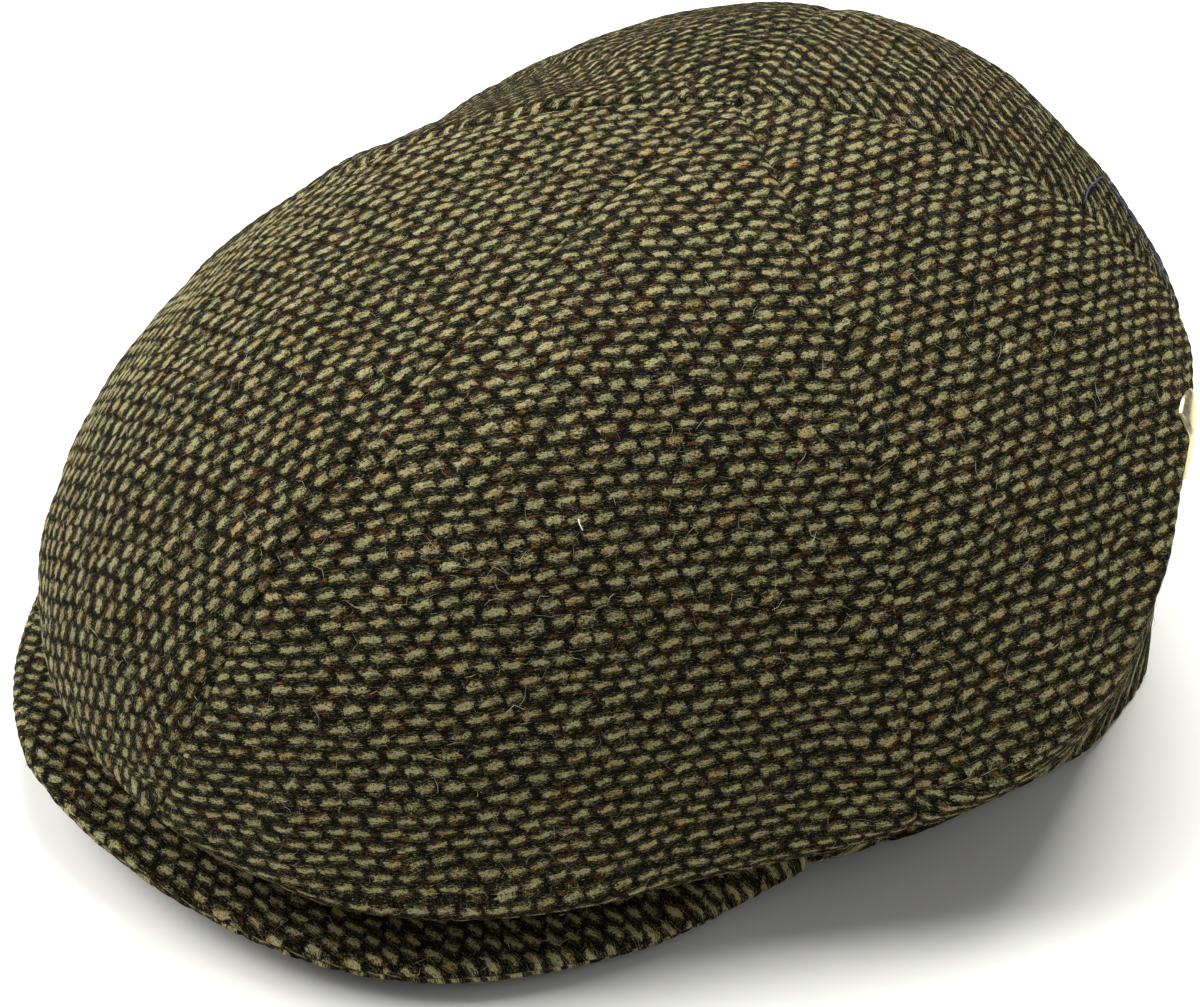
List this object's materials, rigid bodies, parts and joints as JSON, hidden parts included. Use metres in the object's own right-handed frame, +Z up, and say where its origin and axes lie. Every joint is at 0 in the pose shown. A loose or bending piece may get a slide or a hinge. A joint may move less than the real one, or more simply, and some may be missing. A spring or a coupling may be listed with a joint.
{
  "type": "flat cap",
  "caption": "Flat cap of brick-weave tweed with a full panelled crown that bulges over a short curved peak, and a small plain metal badge at the back.",
  "frame": {"origin": "middle of the bounding box's bottom, on the surface that the rim stands on", "axes": "-Y towards the front of the peak, +X towards the wearer's left, +Z up"},
  "size_m": [0.2132, 0.234, 0.108],
  "materials": {
    "tweed": "brushed wool tweed in a brick weave, beige dashes on dark brown",
    "badge_metal": "pale gold plating, polished"
  },
  "bodies": {
    "root": {"crown_front": "tweed", "crown_front_left": "tweed", "crown_back_left": "tweed", "crown_back": "tweed", "crown_back_right": "tweed", "crown_front_right": "tweed", "peak": "tweed", "badge": "badge_metal"}
  },
  "joints": []
}
